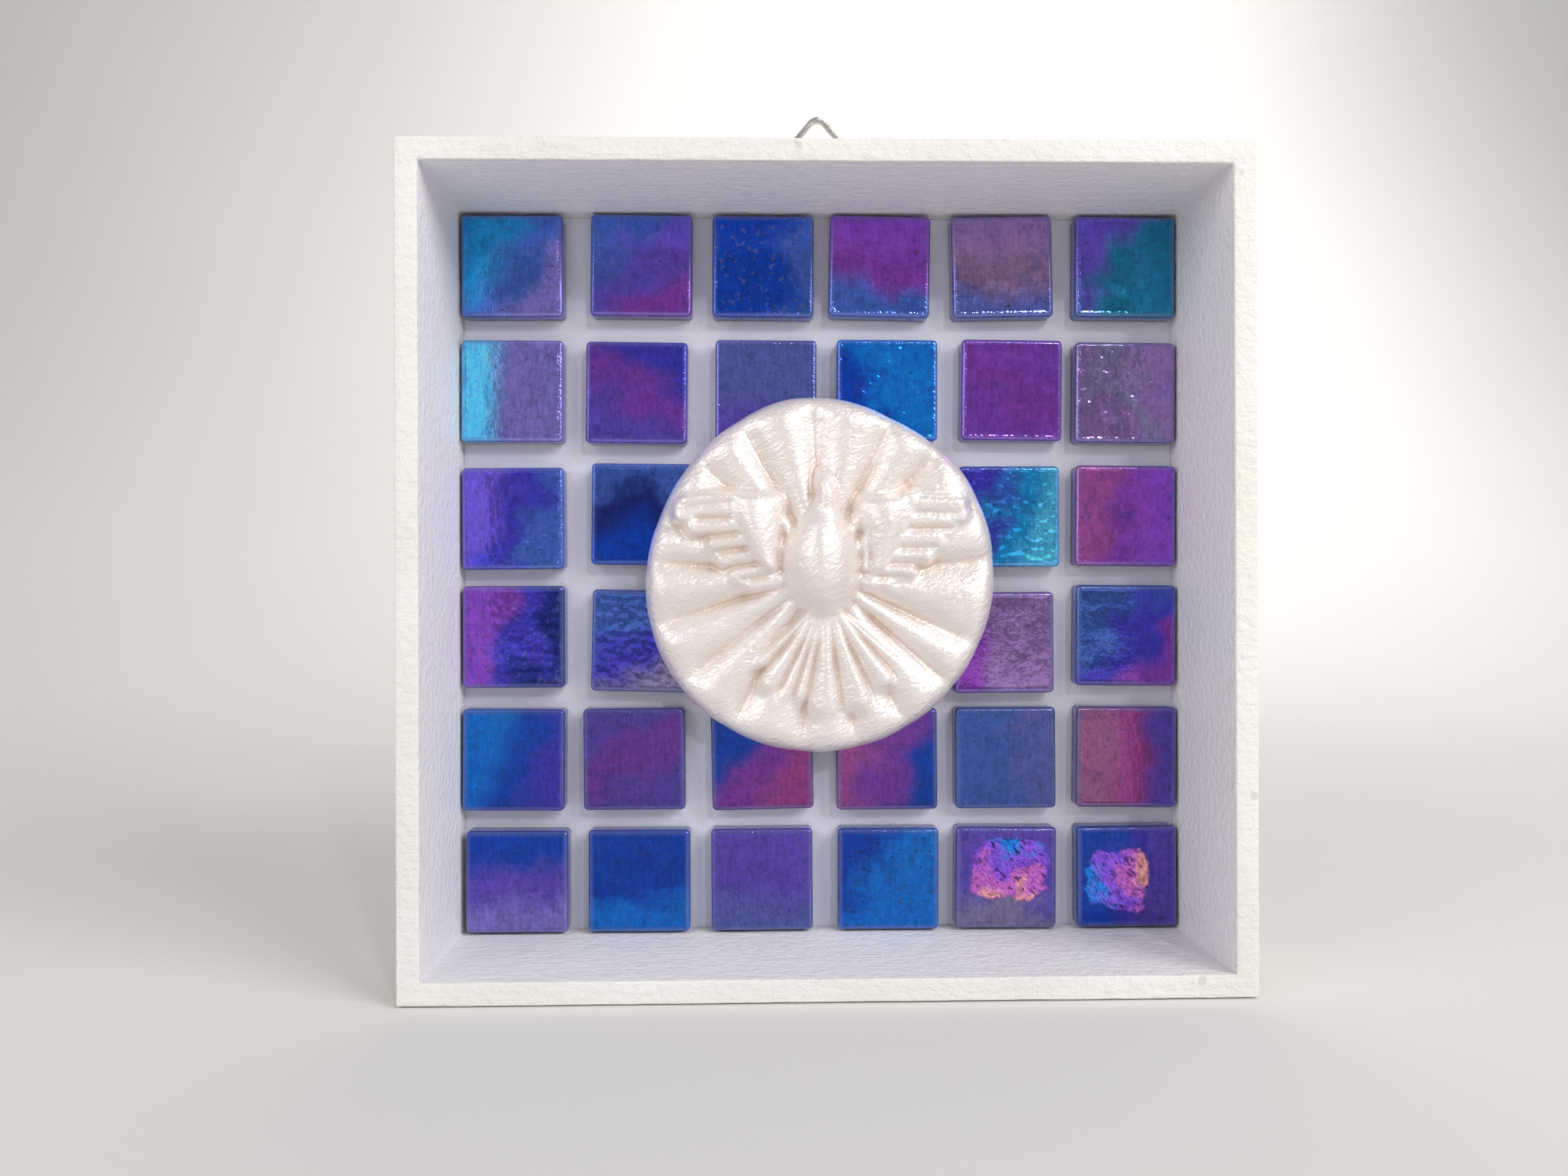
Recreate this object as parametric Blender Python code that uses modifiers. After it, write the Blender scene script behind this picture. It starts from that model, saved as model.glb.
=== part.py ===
# A square tile mosaic picture: rows of iridescent glass tiles on a board inside a deep,
# white-painted box frame, with a round pearl-white dove medallion over the middle tiles and
# a nickel-plated hanger on the back of the top wall.
# Metres, +Z up. The origin is the middle of the underside, and the front faces -Y.

import math
import random

import bmesh
import bpy
import numpy as np
from mathutils import Matrix

# Glass tiles
TILES_ACROSS = 6
TILE_SIZE = 0.020
TILE_THICKNESS = 0.004
TILE_CORNER = 0.0010         # radius of a tile's four corners
TILE_EDGE = 0.0005           # softening round a tile's front
COLUMN_GAP = 0.0041
ROW_GAP = 0.0040
SIDE_ROOM = 0.00055          # from the outer columns to the side walls
TOP_ROOM = 0.0011            # from the top row to the top wall
BOTTOM_ROOM = 0.0005         # from the bottom row to the bottom wall
TILE_SEED = 7
# How far each hand-laid tile sits off its place, sideways and upward in tenths of a millimetre,
# and its turn to the left in degrees, row by row from the top. The middle four are hidden.
TILE_STANCES = (
    ((-4, 5, 0.4), (10, 7, -0.4), (8, 5, -0.2), (-3, 6, -0.9), (-1, 6, 1.2), (8, 6, -0.2)),
    ((-3, 0, 0.0), (0, -3, -0.5), (13, 1, -0.1), (11, 2, -0.1), (17, 2, -0.5), (4, -3, -0.4)),
    ((-3, -10, 0.5), (10, -2, -0.4), (4, -3, 0.2), (3, -4, -0.3), (11, -8, 0.3), (7, -7, -0.4)),
    ((-1, -2, 0.2), (10, -11, -1.2), (5, -7, 0.3), (2, -8, 0.1), (-1, -17, 0.4), (3, -4, -0.4)),
    ((-4, -3, -0.3), (-7, -3, 0.4), (3, -4, 1.2), (8, -6, 0.4), (2, -5, 0.3), (7, -5, -0.5)),
    ((4, -6, 0.0), (2, -4, 0.1), (2, -8, 0.4), (10, -8, 0.0), (2, -7, -0.3), (7, -8, 0.4)),
)

# Box frame
WALL = 0.0042
CASE_DEPTH = 0.035
CASE_EDGE = 0.0004           # softening along the walls' edges
BOARD_THICKNESS = 0.003
TOUCH = 0.0003               # gap between pieces that touch

# Dove medallion
MEDALLION_RADIUS = 0.03425
MEDALLION_SIDEWAYS = -0.0003  # the medallion's centre, from the middle of the case
MEDALLION_LIFT = -0.0005
MEDALLION_STEPS = 108
MEDALLION_RINGS = 22

# Hanger and its two nails
HANGER_RISE = 0.0177         # height over the case's top
HANGER_THICKNESS = 0.0014
HANGER_SLOPE = 40            # lean of the two sides, in degrees
HANGER_TIP = 0.0025          # radius at the top
HANGER_CORNER = 0.0030       # radius at the two lower corners
HANGER_BAND = 0.0011         # width of the strip round the eye
EYE_CORNER = 0.0012
EYE_LIFT = 0.0010            # the eye's lower edge over the case's top
NAIL_SPREAD = 0.018          # from one nail to the other
NAIL_SHANK = 0.0006          # radius
NAIL_HEAD = 0.0012           # radius
NAIL_HEAD_HEIGHT = 0.0005
NAIL_LENGTH = 0.008
NAIL_POINT = 0.0012
NAIL_STEPS = 12

# The size and place of everything else
INNER_WIDTH = TILES_ACROSS * TILE_SIZE + (TILES_ACROSS - 1) * COLUMN_GAP + 2 * SIDE_ROOM
INNER_HEIGHT = TILES_ACROSS * TILE_SIZE + (TILES_ACROSS - 1) * ROW_GAP + TOP_ROOM + BOTTOM_ROOM
CASE_WIDTH = INNER_WIDTH + 2 * WALL
CASE_HEIGHT = INNER_HEIGHT + 2 * WALL
CASE_BACK = CASE_DEPTH / 2
BOARD_FRONT = CASE_BACK - BOARD_THICKNESS
TILE_BACK = BOARD_FRONT - TOUCH
TILE_FRONT = TILE_BACK - TILE_THICKNESS
HANGER_FRONT = CASE_BACK + TOUCH
HANGER_BACK = HANGER_FRONT + HANGER_THICKNESS
NAIL_LEVEL = CASE_HEIGHT - WALL / 2

# Carving of the medallion. Places, from its centre, and heights, over its back, are all shares
# of its radius.
DISC = {"side": 0.10, "crest": 0.247, "crest_at": 0.86, "bed": 0.192, "foot_inset": 0.02,
        "ray_depth": 0.066, "softness": 0.012}
RAY_GROOVES = (-163, -142.5, -121.4, -97, -77.7, -60.5, -40.7, -24.4, 5, 25, 46.5, 66,
               92.7, 118, 137, 162, 175.7)
OUTLINE = ((-180, 1.0), (-162, 1.02), (-85, 1.015), (-50, 1.0), (10, 1.0), (32, 1.005), (60, 0.985),
           (100, 1.02), (124, 0.992), (155, 0.976), (180, 1.0))

# Each form is given by (level, value) knots from its lower end to its upper end.
BODY = {
    "middle": ((-0.27, 0.02), (-0.1, 0.0), (0.1, -0.01), (0.3, 0.0), (0.42, 0.02), (0.52, 0.02),
               (0.61, 0.0)),
    "half": ((-0.27, 0.02), (-0.255, 0.07), (-0.22, 0.122), (-0.16, 0.163), (-0.08, 0.195),
             (0.06, 0.217), (0.2, 0.197), (0.3, 0.138), (0.37, 0.095), (0.45, 0.08), (0.52, 0.06),
             (0.57, 0.034), (0.61, 0.01)),
    "rise": ((-0.27, 0.17), (-0.255, 0.235), (-0.22, 0.292), (-0.16, 0.338), (-0.08, 0.37),
             (0.0, 0.393), (0.12, 0.408), (0.25, 0.382), (0.36, 0.322), (0.46, 0.332),
             (0.54, 0.285), (0.61, 0.19)),
    "foot": 0.165,
}
LEFT_LOBE = {
    "outer": ((-0.04, -0.245), (0.02, -0.32), (0.1, -0.42), (0.2, -0.505), (0.3, -0.56),
              (0.4, -0.60), (0.47, -0.585), (0.54, -0.46)),
    "inner": ((-0.04, -0.21), (0.1, -0.20), (0.2, -0.19), (0.3, -0.16), (0.4, -0.12),
              (0.47, -0.16), (0.54, -0.34)),
    "rise": ((-0.04, 0.20), (0.04, 0.268), (0.12, 0.308), (0.22, 0.328), (0.34, 0.322),
             (0.42, 0.295), (0.48, 0.245), (0.54, 0.18)),
    "ridge": 0.45,
}
RIGHT_LOBE = {
    "outer": ((-0.06, 0.285), (0.04, 0.385), (0.12, 0.455), (0.2, 0.50), (0.3, 0.565),
              (0.4, 0.60), (0.47, 0.585), (0.53, 0.48)),
    "inner": ((-0.06, 0.24), (0.1, 0.25), (0.22, 0.22), (0.3, 0.17), (0.4, 0.11), (0.47, 0.14),
              (0.53, 0.33)),
    "rise": ((-0.06, 0.19), (0.04, 0.255), (0.12, 0.292), (0.22, 0.315), (0.34, 0.322),
             (0.41, 0.297), (0.47, 0.25), (0.53, 0.18)),
    "ridge": 0.52,
}

# Each flight feather runs from its root to its tip and has half a width.
FEATHERS = (
    ((-0.47, 0.434), (-0.80, 0.425), 0.036), ((-0.46, 0.362), (-0.82, 0.362), 0.047),
    ((-0.44, 0.284), (-0.745, 0.276), 0.052), ((-0.40, 0.222), (-0.625, 0.168), 0.050),
    ((-0.35, 0.143), (-0.565, 0.078), 0.050), ((-0.29, 0.06), (-0.48, -0.004), 0.047),
    ((-0.25, -0.018), (-0.39, -0.064), 0.043),
    ((0.50, 0.44), (0.79, 0.43), 0.034), ((0.48, 0.378), (0.79, 0.372), 0.042),
    ((0.46, 0.298), (0.75, 0.298), 0.056), ((0.41, 0.19), (0.645, 0.19), 0.062),
    ((0.365, 0.085), (0.595, 0.09), 0.055), ((0.31, 0.004), (0.495, 0.012), 0.046),
    ((0.27, -0.064), (0.385, -0.06), 0.042))
WING = {"bed": 0.240, "rise": 0.042, "quill": ((0.252, 0.24), (0.24, 0.03), 0.03),
        "quill_rise": 0.272}

# The tail fans out from one point. Its feathers lie between these directions, in degrees from
# straight down, and reach this far from that point.
TAIL = {
    "point": (0.02, -0.126),
    "edges": (-51, -40, -27, -18.5, -10.5, 8.5, 26, 42, 51),
    "reach": (0.58, 0.655, 0.64, 0.635, 0.665, 0.665, 0.64, 0.58),
    "rise": ((0.1, 0.285), (0.28, 0.322), (0.48, 0.312), (0.66, 0.285)),
    "groove": 0.068,
    "foot": 0.08,
}

# Colours
PAINT_WHITE = (0.86, 0.84, 0.81)
BOARD_WHITE = (0.80, 0.80, 0.84)
PEARL_WHITE = (0.88, 0.83, 0.79)
NICKEL = (0.66, 0.63, 0.58)
GLASS_FILMS = {
    "deep_blue": (0.03, 0.09, 0.42),
    "violet": (0.14, 0.06, 0.42),
    "magenta": (0.30, 0.05, 0.34),
    "sky_blue": (0.05, 0.24, 0.58),
    "grey_lilac": (0.25, 0.20, 0.36),
}


def finish(name, colour, roughness, metallic=0.0):
    material = bpy.data.materials.new(name)
    material.use_nodes = True
    shader = material.node_tree.nodes["Principled BSDF"]
    shader.inputs["Base Color"].default_value = (*colour, 1)
    shader.inputs["Roughness"].default_value = roughness
    shader.inputs["Metallic"].default_value = metallic
    return material


def new_collection(name):
    collection = bpy.data.collections.new(name)
    bpy.context.scene.collection.children.link(collection)
    return collection


def add_object(name, data, collection, material=None):
    item = bpy.data.objects.new(name, data)
    collection.objects.link(item)
    if material:
        data.materials.append(material)
    return item


def add_box(name, size, centre, collection, material, edge=0.0):
    bpy.ops.mesh.primitive_cube_add(size=1, location=centre)
    item = bpy.context.object
    item.name = item.data.name = name
    item.data.transform(Matrix.Diagonal((*size, 1)))
    item.data.materials.append(material)
    for other in item.users_collection:
        other.objects.unlink(item)
    collection.objects.link(item)
    if edge:
        bevel = item.modifiers.new("soft_edges", "BEVEL")
        bevel.width = edge
        bevel.segments = 1
    return item


def add_turned(name, profile, steps, collection, material=None):
    # A profile of (radius, height) points, top to bottom, turned round its own Z axis.
    mesh = bpy.data.meshes.new(name)
    points = [(radius, 0, height) for radius, height in profile]
    mesh.from_pydata(points, [(i, i + 1) for i in range(len(points) - 1)], [])
    item = add_object(name, mesh, collection, material)
    screw = item.modifiers.new("turned", "SCREW")
    screw.axis = "Z"
    screw.steps = screw.render_steps = steps
    screw.use_merge_vertices = True
    screw.merge_threshold = 0.00001
    return item


def evaluated_mesh(item):
    depsgraph = bpy.context.evaluated_depsgraph_get()
    return bpy.data.meshes.new_from_object(item.evaluated_get(depsgraph))


# Case and board

def add_case(collection):
    paint = finish("painted_board", PAINT_WHITE, 0.55)
    middle = CASE_HEIGHT / 2
    for name, level in (("wall_bottom", WALL / 2), ("wall_top", CASE_HEIGHT - WALL / 2)):
        add_box(name, (CASE_WIDTH, CASE_DEPTH, WALL), (0, 0, level), collection, paint, CASE_EDGE)
    for name, side in (("wall_left", -1), ("wall_right", 1)):
        place = (side * (CASE_WIDTH - WALL) / 2, 0, middle)
        add_box(name, (WALL, CASE_DEPTH, INNER_HEIGHT - 2 * TOUCH), place, collection, paint, CASE_EDGE)
    add_box("back_board", (INNER_WIDTH - 2 * TOUCH, BOARD_THICKNESS, INNER_HEIGHT - 2 * TOUCH),
            (0, BOARD_FRONT + BOARD_THICKNESS / 2, middle), collection,
            finish("painted_back_board", BOARD_WHITE, 0.6))


# Tiles

def tile_mesh():
    cage = bmesh.new()
    size = (TILE_SIZE, TILE_THICKNESS, TILE_SIZE, 1)
    bmesh.ops.create_cube(cage, size=1, matrix=Matrix.Diagonal(size))
    front = -TILE_THICKNESS / 2
    deep = [edge for edge in cage.edges if abs(edge.verts[0].co.y - edge.verts[1].co.y) > -front]
    bmesh.ops.bevel(cage, geom=deep, offset=TILE_CORNER, segments=2, profile=0.5, affect="EDGES")
    face = max(cage.faces, key=lambda flat: -flat.calc_center_median().y)
    bmesh.ops.bevel(cage, geom=list(face.edges), offset=TILE_EDGE, segments=1, affect="EDGES")
    mesh = bpy.data.meshes.new("tile")
    cage.to_mesh(mesh)
    cage.free()
    return mesh


def tile_place(column, row, drift, turn):
    # Hand-laid tiles are a little off their grid, and the outer ones stay clear of the walls.
    spread = TILE_SIZE / 2 * (math.cos(turn) + math.sin(abs(turn)) - 1)
    last = TILES_ACROSS - 1
    x = (column - last / 2) * (TILE_SIZE + COLUMN_GAP)
    z = CASE_HEIGHT - WALL - TOP_ROOM - TILE_SIZE / 2 - row * (TILE_SIZE + ROW_GAP)
    drift_x, drift_z = drift
    if column == 0:
        drift_x = max(drift_x, TOUCH + spread - SIDE_ROOM)
    if column == last:
        drift_x = min(drift_x, SIDE_ROOM - TOUCH - spread)
    if row == 0:
        drift_z = min(drift_z, TOP_ROOM - TOUCH - spread)
    if row == last:
        drift_z = max(drift_z, TOUCH + spread - BOTTOM_ROOM)
    return x + drift_x, (TILE_BACK + TILE_FRONT) / 2, z + drift_z


def add_tiles(collection):
    draw = random.Random(TILE_SEED)
    films = [finish("glass_" + name, colour, 0.12, 0.3) for name, colour in GLASS_FILMS.items()]
    shared = tile_mesh()
    shared.materials.append(films[0])
    for row, stances in enumerate(TILE_STANCES):
        for column, (sideways, upward, turn) in enumerate(stances):
            turn = math.radians(turn)
            tile = add_object(f"tile_r{row + 1}_c{column + 1}", shared, collection)
            tile.location = tile_place(column, row, (sideways * 0.0001, upward * 0.0001), turn)
            tile.rotation_euler.y = -turn
            tile.material_slots[0].link = "OBJECT"
            tile.material_slots[0].material = draw.choice(films)


# Medallion

def flow(at, knots):
    # A smooth line through (place, value) knots, level beyond both ends.
    place, value = (np.array(row, float) for row in zip(*knots))
    slope = np.gradient(value, place)
    at = np.clip(at, place[0], place[-1])
    i = np.clip(np.searchsorted(place, at) - 1, 0, len(place) - 2)
    gap = place[i + 1] - place[i]
    t = (at - place[i]) / gap
    return ((2 * t**3 - 3 * t**2 + 1) * value[i] + (t**3 - 2 * t**2 + t) * gap * slope[i]
            + (3 * t**2 - 2 * t**3) * value[i + 1] + (t**3 - t**2) * gap * slope[i + 1])


def ease(low, high, at):
    t = np.clip((at - low) / (high - low), 0, 1)
    return t * t * (3 - 2 * t)


def roll(across, fullness=0.6):
    # The height over a long rounded form, 1 along its ridge and 0 at its edges.
    return np.clip(1 - across**2, 0, 1) ** fullness


def merged(low, high, blend):
    # The higher of two surfaces, with the crease between them softened.
    near = np.clip(blend - np.abs(low - high), 0, None)
    return np.maximum(low, high) + near**2 / (4 * blend)


def beside(x, y, start, end):
    # The distance to a line from start to end.
    run_x, run_y = end[0] - start[0], end[1] - start[1]
    t = ((x - start[0]) * run_x + (y - start[1]) * run_y) / (run_x**2 + run_y**2)
    t = np.clip(t, 0, 1)
    return np.hypot(x - start[0] - t * run_x, y - start[1] - t * run_y)


def across_band(angle, edges):
    # Where a direction lies between its two neighbouring edges, from 0 to 1, and their spacing.
    edges = np.array(edges, float)
    i = np.clip(np.searchsorted(edges, angle) - 1, 0, len(edges) - 2)
    width = edges[i + 1] - edges[i]
    return (angle - edges[i]) / width, width, i


def rayed_disc(x, y):
    # A dished disc with a round rim, cut into cushioned rays.
    far = np.hypot(x, y)
    out = np.clip((far - DISC["crest_at"]) / (1 - DISC["crest_at"]), 0, 1)
    rim = DISC["side"] + (DISC["crest"] - DISC["side"]) * np.sqrt(1 - out**2)
    dish = (DISC["crest"] - DISC["bed"]) * (1 - ease(0.1, DISC["crest_at"], far))
    angle = (np.degrees(np.arctan2(y, x)) - RAY_GROOVES[0]) % 360 + RAY_GROOVES[0]
    share, width, _ = across_band(angle, RAY_GROOVES + (RAY_GROOVES[0] + 360,))
    groove = 1 - (4 * share * (1 - share)) ** 0.62
    fading = ease(0.15, 0.5, far) * (1 - 0.5 * ease(0.9, 1, far))
    return rim - dish - DISC["ray_depth"] * np.minimum(1, width / 20) * fading * groove


def with_wings(x, y, height):
    near = np.array([beside(x, y, root, tip) / half for root, tip, half in FEATHERS])
    bed = 1 - ease(0.9, 1.9, near.min(axis=0))
    height = height + (WING["bed"] - 0.006 - height) * bed
    for reach in near:
        height = merged(height, WING["bed"] + WING["rise"] * (1 - 1.55 * reach**2), 0.014)
    foot = DISC["bed"] - 0.03
    for lobe in (LEFT_LOBE, RIGHT_LOBE):
        outer, inner = flow(y, lobe["outer"]), flow(y, lobe["inner"])
        left, right = np.minimum(outer, inner), np.maximum(outer, inner)
        crest = left + (right - left) * lobe["ridge"]
        across = (x - crest) / np.where(x < crest, crest - left, right - crest)
        rise = foot + (flow(y, lobe["rise"]) - foot) * roll(across, 0.75)
        inside = (y > lobe["rise"][0][0]) & (y < lobe["rise"][-1][0]) & (np.abs(across) < 1.3)
        height = merged(height, np.where(inside, rise, 0), 0.035)
    root, tip, half = WING["quill"]
    reach = beside(x, y, root, tip) / half
    return merged(height, WING["quill_rise"] - 0.06 * reach**2, 0.02)


def with_tail(x, y, height):
    over, down = x - TAIL["point"][0], TAIL["point"][1] - y
    turn, far = np.degrees(np.arctan2(over, down)), np.hypot(over, down)
    edges = TAIL["edges"]
    share, width, i = across_band(turn, edges)
    across = (share - 0.6) / np.where(share < 0.6, 0.6, 0.4)
    groove = TAIL["groove"] * (1 - roll(across, 0.7)) * np.minimum(1, width / 14) * ease(0.1, 0.4, far)
    reach = np.array(TAIL["reach"])[i] - 0.04 * (2 * share - 1) ** 2
    inside = (1 - ease(reach - 0.05, reach + 0.015, far)) * (np.abs(turn) < 80)
    inside = inside * ease(edges[0] - 1, edges[0] + 4, turn) * (1 - ease(edges[-1] - 4, edges[-1] + 1, turn))
    return merged(height, TAIL["foot"] + (flow(far, TAIL["rise"]) - groove - TAIL["foot"]) * inside, 0.015)


def with_body(x, y, height):
    across = (x - flow(y, BODY["middle"])) / flow(y, BODY["half"])
    body = BODY["foot"] + (flow(y, BODY["rise"]) - BODY["foot"]) * roll(across, 0.66)
    inside = (y > BODY["rise"][0][0]) & (y < BODY["rise"][-1][0]) & (np.abs(across) < 1.3)
    return merged(height, np.where(inside, body, 0), 0.04)


def relief(x, y):
    return with_body(x, y, with_tail(x, y, with_wings(x, y, rayed_disc(x, y))))


def softened_relief(x, y):
    # The mean of nine places close together, as a cast takes no sharper detail.
    steps = (-DISC["softness"], 0, DISC["softness"])
    return sum(relief(x + right, y + up) for right in steps for up in steps) / 9


def add_medallion(collection):
    side, crest = DISC["side"], DISC["crest_at"]
    inner_rings = [(crest * ring / MEDALLION_RINGS, side) for ring in range(MEDALLION_RINGS)]
    rim_rings = [(crest + (1 - crest) * math.sin(math.radians(turn)), side) for turn in (0, 20, 40, 60, 78, 90)]
    foot = [(1, side / 2), (1 - DISC["foot_inset"], 0), (0, 0)]
    blank = add_turned("blank", inner_rings + rim_rings + foot, MEDALLION_STEPS, collection)
    mesh = evaluated_mesh(blank)
    bpy.data.objects.remove(blank, do_unlink=True)

    points = np.empty(len(mesh.vertices) * 3)
    mesh.vertices.foreach_get("co", points)
    x, y, height = points.reshape(-1, 3).T
    top = height > side * 0.9
    height[top] = softened_relief(x[top], y[top])
    swell = 1 + (flow(np.degrees(np.arctan2(y, x)), OUTLINE) - 1) * ease(0.5, 1, np.hypot(x, y))
    points = np.column_stack((x * swell, y * swell, height)) * MEDALLION_RADIUS
    mesh.vertices.foreach_set("co", points.ravel())
    mesh.shade_smooth()

    medallion = add_object("dove_medallion", mesh, collection, finish("pearl_glaze", PEARL_WHITE, 0.35))
    medallion.rotation_euler.x = math.radians(90)
    medallion.location = (MEDALLION_SIDEWAYS, TILE_FRONT - TOUCH, CASE_HEIGHT / 2 + MEDALLION_LIFT)


# Hanger

def rounded_outline(corners, steps=6):
    # Points round a polygon whose corners, given counter-clockwise as (x, z, radius), are arcs.
    outline = []
    for i, (x, z, radius) in enumerate(corners):
        before, after = corners[i - 1], corners[(i + 1) % len(corners)]
        back = math.atan2(before[1] - z, before[0] - x)
        ahead = math.atan2(after[1] - z, after[0] - x)
        half = ((back - ahead) % (2 * math.pi)) / 2
        middle = ahead + half
        reach = radius / math.sin(half)
        centre = (x + reach * math.cos(middle), z + reach * math.sin(middle))
        sweep = math.pi - 2 * half
        for step in range(steps + 1):
            angle = middle + math.pi + sweep * (step / steps - 0.5)
            outline.append((centre[0] + radius * math.cos(angle), centre[1] + radius * math.sin(angle)))
    return outline


def hanger_triangle(peak, base, tip_radius, corner_radius):
    half = (peak - base) * math.tan(math.radians(HANGER_SLOPE))
    return rounded_outline([(0, peak, tip_radius), (-half, base, corner_radius), (half, base, corner_radius)])


def add_plate(collection, material):
    slope = math.sin(math.radians(HANGER_SLOPE))
    peak = CASE_HEIGHT + HANGER_RISE - HANGER_TIP + HANGER_TIP / slope
    outer = hanger_triangle(peak, CASE_HEIGHT - WALL, HANGER_TIP, HANGER_CORNER)
    eye = hanger_triangle(peak - HANGER_BAND / slope, CASE_HEIGHT + EYE_LIFT,
                          HANGER_TIP - HANGER_BAND, EYE_CORNER)
    sketch = bpy.data.curves.new("plate_sketch", "CURVE")
    sketch.dimensions = "2D"
    sketch.fill_mode = "BOTH"
    sketch.extrude = HANGER_THICKNESS / 2
    for outline in (outer, eye):
        spline = sketch.splines.new("POLY")
        spline.points.add(len(outline) - 1)
        for point, (x, z) in zip(spline.points, outline):
            point.co = (x, z, 0, 1)
        spline.use_cyclic_u = True
    flat = add_object("plate_sketch", sketch, collection)
    mesh = evaluated_mesh(flat)
    bpy.data.objects.remove(flat, do_unlink=True)
    welded = bmesh.new()
    welded.from_mesh(mesh)
    bmesh.ops.remove_doubles(welded, verts=welded.verts, dist=0.00001)
    welded.to_mesh(mesh)
    welded.free()
    plate = add_object("hanger_plate", mesh, collection, material)
    plate.rotation_euler.x = math.radians(90)
    plate.location.y = HANGER_FRONT + HANGER_THICKNESS / 2
    return plate


def nail_profile(grow=0.0):
    # A countersunk nail from the rim of its head down to its point. Its hole is grown all round.
    head, shank = NAIL_HEAD + grow, NAIL_SHANK + grow
    return [(head, -grow), (shank, -NAIL_HEAD_HEIGHT - grow), (shank, NAIL_POINT - NAIL_LENGTH),
            (0, -NAIL_LENGTH - grow)]


def add_hanger(collection, cutters):
    nickel = finish("nickel_plate", NICKEL, 0.25, 1.0)
    plate = add_plate(collection, nickel)
    for name, side in (("left", -1), ("right", 1)):
        place = (side * NAIL_SPREAD / 2, HANGER_BACK, NAIL_LEVEL)
        nail = add_turned("hanger_nail_" + name, [(0, 0)] + nail_profile(), NAIL_STEPS, collection, nickel)
        mouth = [(0, TOUCH), (NAIL_HEAD + TOUCH, TOUCH)]
        hole = add_turned("nail_hole_" + name, mouth + nail_profile(TOUCH), NAIL_STEPS, cutters)
        hole.hide_render = True
        hole.display_type = "WIRE"
        for item in (nail, hole):
            item.location = place
            item.rotation_euler.x = math.radians(-90)
        for drilled in (plate, collection.objects["wall_top"]):
            cut = drilled.modifiers.new("nail_hole_" + name, "BOOLEAN")
            cut.operation = "DIFFERENCE"
            cut.object = hole


def build():
    for item in list(bpy.data.objects):
        bpy.data.objects.remove(item, do_unlink=True)
    parts = new_collection("tile_mosaic_picture")
    cutters = new_collection("cutters")
    add_case(parts)
    add_tiles(parts)
    add_medallion(parts)
    add_hanger(parts, cutters)


build()
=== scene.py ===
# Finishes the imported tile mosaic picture: soft painted case, iridescent glass tiles, a pearl
# dove medallion and a nickel hanger. Metres, +Z up, the front faces -Y.

import math

import bmesh
import bpy
import numpy as np
from mathutils import Euler, Matrix, Vector


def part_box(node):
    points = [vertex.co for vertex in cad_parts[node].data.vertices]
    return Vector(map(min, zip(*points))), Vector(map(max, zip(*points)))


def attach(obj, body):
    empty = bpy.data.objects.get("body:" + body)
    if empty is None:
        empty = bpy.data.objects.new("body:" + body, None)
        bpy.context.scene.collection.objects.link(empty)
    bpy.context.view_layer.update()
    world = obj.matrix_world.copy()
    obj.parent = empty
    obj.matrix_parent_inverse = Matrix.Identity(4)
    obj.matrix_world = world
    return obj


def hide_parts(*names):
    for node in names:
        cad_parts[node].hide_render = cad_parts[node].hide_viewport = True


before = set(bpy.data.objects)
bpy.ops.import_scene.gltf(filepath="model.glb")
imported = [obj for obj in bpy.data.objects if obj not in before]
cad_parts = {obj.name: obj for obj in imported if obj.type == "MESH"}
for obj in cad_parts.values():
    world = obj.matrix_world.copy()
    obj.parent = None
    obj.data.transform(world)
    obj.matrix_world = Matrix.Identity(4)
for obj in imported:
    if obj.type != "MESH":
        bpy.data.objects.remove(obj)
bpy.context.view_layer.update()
samePlace = 0.00001           # points closer together than this are one
print("frame loaded:", len(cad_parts), "nodes")


# Small tools for modelling

def boxOf(names):
    lows, highs = zip(*(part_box(name) for name in names))
    return (Vector([min(low[i] for low in lows) for i in range(3)]),
            Vector([max(high[i] for high in highs) for i in range(3)]))


def makeActive(piece):
    bpy.ops.object.select_all(action="DESELECT")
    piece.select_set(True)
    bpy.context.view_layer.objects.active = piece


def startCube(name, low, high):
    bpy.ops.mesh.primitive_cube_add(size=1, location=(low + high) / 2, scale=high - low)
    piece = bpy.context.object
    piece.name = piece.data.name = name
    bpy.ops.object.transform_apply(location=True, rotation=True, scale=True)
    return piece


def openForEdit(piece, kind, test):
    # Enters edit mode with only the faces or edges that pass the test selected.
    makeActive(piece)
    bpy.ops.object.mode_set(mode="EDIT")
    bpy.ops.mesh.select_mode(type=kind)
    bpy.ops.mesh.select_all(action="DESELECT")
    cage = bmesh.from_edit_mesh(piece.data)
    for part in (cage.faces if kind == "FACE" else cage.edges):
        if test(part):
            part.select_set(True)
    bmesh.update_edit_mesh(piece.data)


def closeEdit():
    bpy.ops.object.mode_set(mode="OBJECT")


def applyModifier(piece, kind, **settings):
    makeActive(piece)
    modifier = piece.modifiers.new(kind.lower(), kind)
    for name, value in settings.items():
        setattr(modifier, name, value)
    bpy.ops.object.modifier_apply(modifier=modifier.name)


def crossCut(piece, low, high, step, axes=(0, 1, 2)):
    # Cuts a piece with even slices, so that a grain has points to move.
    openForEdit(piece, "FACE", lambda face: True)
    for axis in axes:
        slices = max(1, round((high[axis] - low[axis]) / step))
        normal = [0, 0, 0]
        normal[axis] = 1
        for i in range(1, slices):
            place = [0, 0, 0]
            place[axis] = low[axis] + (high[axis] - low[axis]) * i / slices
            bpy.ops.mesh.select_all(action="SELECT")
            bpy.ops.mesh.bisect(plane_co=place, plane_no=normal)
    closeEdit()


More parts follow.
